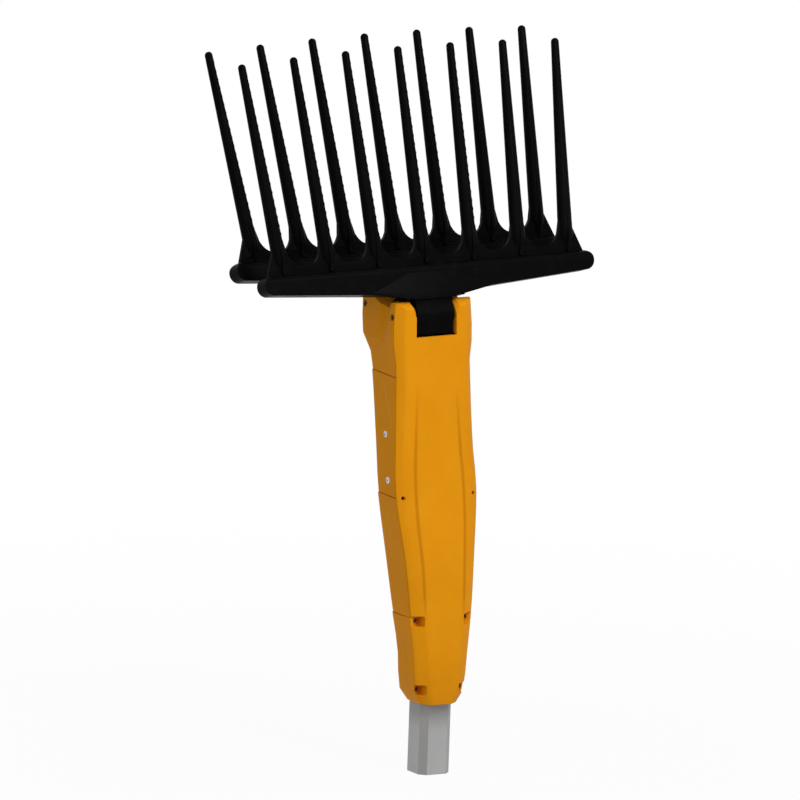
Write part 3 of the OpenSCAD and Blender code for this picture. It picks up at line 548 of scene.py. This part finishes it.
# Rings from the shank's end over the head and down into the recess
def makeHead(name, look):
    top, r, soft = look["headH"], look["headR"], look["edge"]
    inner, cut = r - soft, look["edgeCut"] * soft
    turns = [2 * math.pi * k / look["steps"] for k in range(look["steps"])]
    bm = bmesh.new()

    def crowned(radius):
        return top - look["crown"] * (radius / r) ** 2

    def ringOf(radii, heights):
        spots = zip(radii, turns, heights)
        return [bm.verts.new((q * math.cos(a), q * math.sin(a), z)) for q, a, z in spots]

    rim = crowned(r)
    outline = [(look["shankR"], -look["shankLen"]), (look["shankR"], 0), (r - soft / 2, 0), (r, soft / 2),
               (r, rim - soft), (r - cut, rim - cut), (inner, crowned(inner))]
    rows = [ringOf([q] * len(turns), [z] * len(turns)) for q, z in outline]
    recess = [recessAt(look, a) for a in turns]
    for share in (0.5, 1.0):       # halfway across the face, then the recess's rim
        radii = [inner + (q - inner) * share for q in recess]
        rows.append(ringOf(radii, [crowned(q) for q in radii]))
    rows.append(ringOf([look["recessFloor"] * q for q in recess], [top - look["recessD"]] * len(turns)))
    for low, high in zip(rows, rows[1:]):
        for k in range(len(turns)):
            m = (k + 1) % len(turns)
            bm.faces.new((low[k], low[m], high[m], high[k]))
    bm.faces.new(reversed(rows[0]))
    bm.faces.new(rows[-1])
    bmesh.ops.scale(bm, vec=[metres(1)] * 3, verts=bm.verts)
    mesh = meshFrom(bm, name)
    shadeSmooth(mesh)
    mesh.set_sharp_from_angle(angle=math.radians(look["sharpFrom"]))
    return bpy.data.objects.new(name, mesh)


# Where the outer end of every loose part of a node is, and how a head there is turned
def screwPlaces(look):
    bm = mergedCopy(look["replaces"])
    axis = look["axis"]
    places, left = [], set(bm.verts)
    while left:
        part, edge = set(), [next(iter(left))]
        while edge:
            v = edge.pop()
            if v not in part:
                part.add(v)
                edge.extend(e.other_vert(v) for e in v.link_edges)
        left -= part
        low = [min(v.co[k] for v in part) for k in range(3)]
        high = [max(v.co[k] for v in part) for k in range(3)]
        at = [(a + b) / 2 for a, b in zip(low, high)]
        out = look["out"] or (1 if at[axis] > 0 else -1)
        at[axis] = high[axis] if out > 0 else low[axis]
        turn = (0, out * math.pi / 2, 0) if axis == 0 else (-out * math.pi / 2, 0, 0)
        places.append((at, turn))
    bm.free()
    return sorted(places)


def outwardOf(turn):
    return Vector((math.sin(turn[1]), -math.sin(turn[0]), 0))


def makeScatterTree():
    inputs = {"Places": "Geometry", "Head": "Object", "Size": "Float", "Finish": "Material"}
    tree, given = newTree("screwScatter", inputs, "Screws")
    head = addNode(tree, "GeometryNodeObjectInfo", (-400, -200))
    turn = namedValue(tree, "turn", "FLOAT_VECTOR", (-400, -400))
    scatter = addNode(tree, "GeometryNodeInstanceOnPoints", (-100, 0))
    join(tree, given.outputs["Head"], head.inputs["Object"])
    join(tree, given.outputs["Places"], scatter.inputs["Points"])
    join(tree, head.outputs["Geometry"], scatter.inputs["Instance"])
    join(tree, turn, scatter.inputs["Rotation"])
    join(tree, given.outputs["Size"], scatter.inputs["Scale"])
    endTree(tree, given, scatter.outputs[0])
    return tree


def scatterScrews(name, look, tree):
    node = look["replaces"]
    places = screwPlaces(look)
    drop = metres(look["seat"])
    mesh = bpy.data.meshes.new(name)
    mesh.from_pydata([[a - drop * o for a, o in zip(at, outwardOf(turn))] for at, turn in places], [], [])
    turns = mesh.attributes.new("turn", "FLOAT_VECTOR", "POINT")
    turns.data.foreach_set("vector", [v for at, turn in places for v in turn])
    piece = newObject(name, mesh)
    finish = finishes[finishOf[node]]
    runTree(piece, tree, {"Head": makeHead(name + "_head", look), "Size": 1.0, "Finish": finish})
    placePiece(piece, node)
    return piece


# Ribs down both faces of every tine: paths laid on the combs, swept by Geometry Nodes
tineRibs = {
    "combs": ("front_comb", "rear_comb"),
    "slices": (40.0, 140.0), "apart": 12.0,                    # level cuts that find the tines
    "top": 10.0, "length": 211.0, "steps": 42,
    "castFrom": 12.0, "castReach": 20.0,
    "width": 1.2, "tipShare": 0.55, "sunk": 0.5, "sides": 10,
    "rootFrom": 0.8, "rootShare": 1.5, "rootLift": 1.1,        # near the bar the rib stands up as a fin
}


# Each tine's axis, from where two level cuts cross it
def tineAxes(bm):
    top = max(v.co.z for v in bm.verts)
    rows = []
    for drop in tineRibs["slices"]:
        level = top - metres(drop)
        everything = bm.verts[:] + bm.edges[:] + bm.faces[:]
        cut = bmesh.ops.bisect_plane(bm, geom=everything, plane_co=(0, 0, level), plane_no=(0, 0, 1))
        spots = sorted((v.co.x, v.co.y) for v in cut["geom_cut"] if isinstance(v, bmesh.types.BMVert))
        groups = [[spots[0]]]
        for spot in spots[1:]:
            if spot[0] - groups[-1][-1][0] > metres(tineRibs["apart"]):
                groups.append([])
            groups[-1].append(spot)
        middles = [[(min(c) + max(c)) / 2 for c in zip(*group)] for group in groups]
        rows.append([Vector((x, y, level)) for x, y in middles])
    return list(zip(*rows))


def ribPaths(name):
    bm = mergedCopy(name)
    axes = tineAxes(bm)
    skin = BVHTree.FromBMesh(bm)
    bm.free()
    castFrom, castReach = metres(tineRibs["castFrom"]), metres(tineRibs["castReach"])
    spots, edges, tapers = [], [], []
    for high, low in axes:
        down = (low - high).normalized()
        tip = high - down * (metres(tineRibs["slices"][0]) / -down.z)
        for face in (-1, 1):
            out = Vector((0, face, 0))
            out = (out - down * out.dot(down)).normalized()
            for k in range(tineRibs["steps"] + 1):
                share = k / tineRibs["steps"]
                at = tip + down * metres(tineRibs["top"] + share * tineRibs["length"])
                hit = skin.ray_cast(at + out * castFrom, -out, castReach)[0]
                if hit is None:
                    break
                if k:
                    edges.append((len(spots) - 1, len(spots)))
                root = max(0, (share - tineRibs["rootFrom"]) / (1 - tineRibs["rootFrom"]))
                spots.append(hit + out * metres(root * tineRibs["rootLift"] - tineRibs["sunk"]))
                grown = tineRibs["tipShare"] + (1 - tineRibs["tipShare"]) * share
                tapers.append(grown + (tineRibs["rootShare"] - 1) * root)
    return spots, edges, tapers


def makeRibTree():
    inputs = {"Paths": "Geometry", "Width": "Float", "Sides": "Int", "Finish": "Material"}
    tree, given = newTree("ribSweep", inputs, "Ribs")
    curves = addNode(tree, "GeometryNodeMeshToCurve", (-400, 0))
    taper = namedValue(tree, "taper", "FLOAT", (-500, -200))
    width = mathOf(tree, "MULTIPLY", taper, given.outputs["Width"], (-300, -200))
    ring = addNode(tree, "GeometryNodeCurvePrimitiveCircle", (-100, -300))
    setInputs(ring, {"Radius": 1.0})
    swept = addNode(tree, "GeometryNodeCurveToMesh", (100, 0))
    setInputs(swept, {"Fill Caps": True})
    join(tree, given.outputs["Paths"], curves.inputs[0])
    join(tree, given.outputs["Sides"], ring.inputs["Resolution"])
    join(tree, curves.outputs[0], swept.inputs["Curve"])
    join(tree, ring.outputs["Curve"], swept.inputs["Profile Curve"])
    join(tree, width, swept.inputs["Scale"])
    endTree(tree, given, swept.outputs[0])
    return tree


def sweepRibs(name, tree):
    spots, edges, tapers = ribPaths(name)
    mesh = bpy.data.meshes.new(name + "_ribs")
    mesh.from_pydata(spots, edges, [])
    mesh.attributes.new("taper", "FLOAT", "POINT").data.foreach_set("value", tapers)
    piece = newObject(name + "_ribs", mesh)
    finish = finishes[finishOf[name]]
    runTree(piece, tree, {"Width": metres(tineRibs["width"]), "Sides": tineRibs["sides"], "Finish": finish})
    shadeSmooth(piece.data)
    placePiece(piece, name, replaced=False)
    return piece


# Pockets over the clamp screws, cut deeper into the front shell's skin with floors that climb to the flanks
pocketCut = {
    "node": "front_shell",
    "inner": -5.7, "innerY": -8.5,             # from the screw's X
    "outerShare": 1.3, "outerY": -17.5,        # of the screw's X
    "front": -60.0, "half": 5.45, "round": 1.6, "roundSteps": 3,
}


def makePocketCutter():
    deep, shallow, front, half = (metres(pocketCut[k]) for k in ("innerY", "outerY", "front", "half"))
    bm = bmesh.new()
    for at, _ in screwPlaces(clampScrews):
        screwX, screwZ = at[0], at[2]
        side = math.copysign(1, screwX)
        inner = abs(screwX) + metres(pocketCut["inner"])
        outer = abs(screwX) * pocketCut["outerShare"]
        outline = ((inner, front), (inner, deep), (outer, shallow), (outer, front))
        low = [bm.verts.new((side * x, y, screwZ - half)) for x, y in outline]
        high = [bm.verts.new((side * x, y, screwZ + half)) for x, y in outline]
        bm.faces.new(low)
        bm.faces.new(reversed(high))
        for k in range(len(outline)):
            m = (k + 1) % len(outline)
            bm.faces.new((low[m], low[k], high[k], high[m]))
    bmesh.ops.recalc_face_normals(bm, faces=bm.faces)
    bmesh.ops.bevel(bm, geom=bm.edges, offset=metres(pocketCut["round"]), segments=pocketCut["roundSteps"],
                    profile=0.5, affect="EDGES")      # 0.5 is round
    return newObject("pocketCutter", meshFrom(bm, "pocketCutter"))


def cutPockets(mesh):
    piece, cutter = newObject("pocketed", mesh), makePocketCutter()
    cut = piece.modifiers.new("pockets", "BOOLEAN")
    cut.operation = "DIFFERENCE"
    cut.solver = "EXACT"
    cut.object = cutter
    result = evaluatedMesh(piece)
    for done in (piece, cutter):
        bpy.data.objects.remove(done)
    return result


smoothPieces = {
    "pieces": [
        "front_shell", "rear_clamp", "lower_rear_cover", "upper_rear_cover", "fork_housing", "front_comb",
        "rear_comb", "pole_tube", "top_guard",
    ],
    "sharpFrom": 30.0,
    "softer": {"front_comb": 50.0, "rear_comb": 50.0},
    "faceWeight": 80,
}


# A merged copy of a node, smooth between its sharp edges
def smoothCopy(name):
    mesh = meshFrom(mergedCopy(name), name + "_skin")
    imported = mesh.attributes.get("custom_normal")
    if imported:
        mesh.attributes.remove(imported)      # it would hide the sharp edges
    if name == pocketCut["node"]:
        mesh = cutPockets(mesh)
    shadeSmooth(mesh)
    sharpFrom = smoothPieces["softer"].get(name, smoothPieces["sharpFrom"])
    mesh.set_sharp_from_angle(angle=math.radians(sharpFrom))
    piece = newObject(name + "_skin", mesh)
    if name not in smoothPieces["softer"]:     # large faces lead, so flats stay flat and ridges look rounded
        weighted = piece.modifiers.new("weighted", "WEIGHTED_NORMAL")
        weighted.keep_sharp = True
        weighted.weight = smoothPieces["faceWeight"]
        bakeModifiers(piece)
    dressMesh(piece.data, finishOf[name])
    placePiece(piece, name)


ribTree = makeRibTree()
for name in tineRibs["combs"]:
    ribs = sweepRibs(name, ribTree)
    print(ribs.name, len(ribs.data.polygons), "faces")

scatterTree = makeScatterTree()
scattered = {}
for name, look in (("clampHeads", clampScrews), ("sideHeads", sideScrews)):
    scattered[look["replaces"]] = scatterScrews(name, look, scatterTree)
    print(name, len(scattered[look["replaces"]].data.polygons), "faces")

for name, slot in finishOf.items():
    if name in scattered:
        continue
    if name in smoothPieces["pieces"]:
        smoothCopy(name)
    else:
        dressMesh(nodes[name].data, slot)
print("pieces dressed:", len(nodes))


# Floor, light and camera, in metres

stageSet = {
    "floorSize": 14.0,
    "floorDrop": 0.0004,
    "floor": {"Base Color": (0.6, 0.6, 0.6, 1), "Roughness": 0.9, "Specular IOR Level": 0.1},
    "paleShare": 0.95,     # of white that the camera sees in the floor near the object
    "whiteFrom": 0.3,
    "whiteTo": 1.3,
    "fill": 0.36,
}


# Rays that see a plain white room
def seenRays(tree):
    path = addNode(tree, "ShaderNodeLightPath", (-600, 300))
    seen = mathOf(tree, "MAXIMUM", path.outputs["Is Camera Ray"], path.outputs["Is Glossy Ray"], (-400, 300))
    return mathOf(tree, "MAXIMUM", seen, path.outputs["Is Transmission Ray"], (-200, 300))


def mixShaders(tree, mask, first, second, out):
    mix = addNode(tree, "ShaderNodeMixShader", (300, 0))
    for k, source in enumerate((mask, first.outputs[0], second.outputs[0])):
        join(tree, source, mix.inputs[k])
    join(tree, mix.outputs[0], out.inputs["Surface"])


def makeFloor():
    half, z = stageSet["floorSize"] / 2, -stageSet["floorDrop"]
    corners = [(-half, -half, z), (half, -half, z), (half, half, z), (-half, half, z)]
    mesh = bpy.data.meshes.new("floor")
    mesh.from_pydata(corners, [], [(0, 1, 2, 3)])
    material = bpy.data.materials.new("paleFloor")
    material.use_nodes = True
    tree = material.node_tree
    shader = tree.nodes["Principled BSDF"]
    setInputs(shader, stageSet["floor"])
    white = addNode(tree, "ShaderNodeEmission", (0, -300))
    where = addNode(tree, "ShaderNodeTexCoord", (-900, 0)).outputs["Object"]
    away = addNode(tree, "ShaderNodeVectorMath", (-700, 0), operation="LENGTH")
    join(tree, where, away.inputs[0])
    reach = (stageSet["whiteFrom"], stageSet["whiteTo"], stageSet["paleShare"], 1.0)
    far = rampOf(tree, away.outputs["Value"], *reach, place=(-500, 0))
    shown = mathOf(tree, "MULTIPLY", seenRays(tree), far, (0, 200))
    mixShaders(tree, shown, shader, white, tree.nodes["Material Output"])
    mesh.materials.append(material)
    newObject("floor", mesh)


def makeWorld():
    world = bpy.data.worlds.new("paleRoom")
    bpy.context.scene.world = world
    world.use_nodes = True
    tree = world.node_tree
    tree.nodes.clear()
    light = addNode(tree, "ShaderNodeBackground", (0, 0))
    white = addNode(tree, "ShaderNodeBackground", (0, -200))
    for room, strength in ((light, stageSet["fill"]), (white, 1.0)):
        setInputs(room, {"Color": (1, 1, 1, 1), "Strength": strength})
    mixShaders(tree, seenRays(tree), light, white, addNode(tree, "ShaderNodeOutputWorld", (500, 0)))


lampSet = {
    "aim": (0, 0.06, 0.38),
    "lamps": {
        "keyLamp": {"place": (0.35, -1.5, 1.85), "size": 1.1, "power": 28.5, "glossy": True},
        "sideLamp": {"place": (-2.2, -0.6, 1.2), "size": 1.6, "power": 4.3, "glossy": False},
        "backLamp": {"place": (0.4, 2.2, 1.8), "size": 1.4, "power": 15, "glossy": False},
        "glintLamp": {"place": (-0.85, -1.3, 1.1), "size": 0.25, "power": 2, "glossy": True},
    },
}


def makeLamps():
    aim = Vector(lampSet["aim"])
    for name, values in lampSet["lamps"].items():
        data = bpy.data.lights.new(name, "AREA")
        data.shape = "DISK"
        data.size = values["size"]
        data.energy = values["power"]
        lamp = newObject(name, data)
        lamp.location = values["place"]
        lamp.visible_glossy = values["glossy"]
        lamp.rotation_euler = (aim - lamp.location).to_track_quat("-Z", "Y").to_euler()


cameraSet = {
    "turn": 30.0,          # degrees round to the object's left
    "lift": 12.0,
    "lean": 2.0,
    "lookAt": (-0.001, 0.0796, 0.3635),
    "imageWidth": 0.8,
    "distance": 4.0,
}


def makeCamera():
    turn, lift, lean = (math.radians(cameraSet[k]) for k in ("turn", "lift", "lean"))
    back = Vector((-math.sin(turn) * math.cos(lift), -math.cos(turn) * math.cos(lift), math.sin(lift)))
    side = Vector((math.cos(turn), -math.sin(turn), 0))
    right = side * math.cos(lean) + back.cross(side) * math.sin(lean)
    data = bpy.data.cameras.new("photoCamera")
    data.type = "ORTHO"
    data.ortho_scale = cameraSet["imageWidth"]
    camera = newObject("photoCamera", data)
    turned = Matrix((right, back.cross(right), back)).transposed().to_4x4()
    stand = Vector(cameraSet["lookAt"]) + back * cameraSet["distance"]
    camera.matrix_world = Matrix.Translation(stand) @ turned
    bpy.context.scene.camera = camera


makeFloor()
makeWorld()
makeLamps()
makeCamera()
bpy.context.scene.view_settings.view_transform = "Standard"
print("stage made")
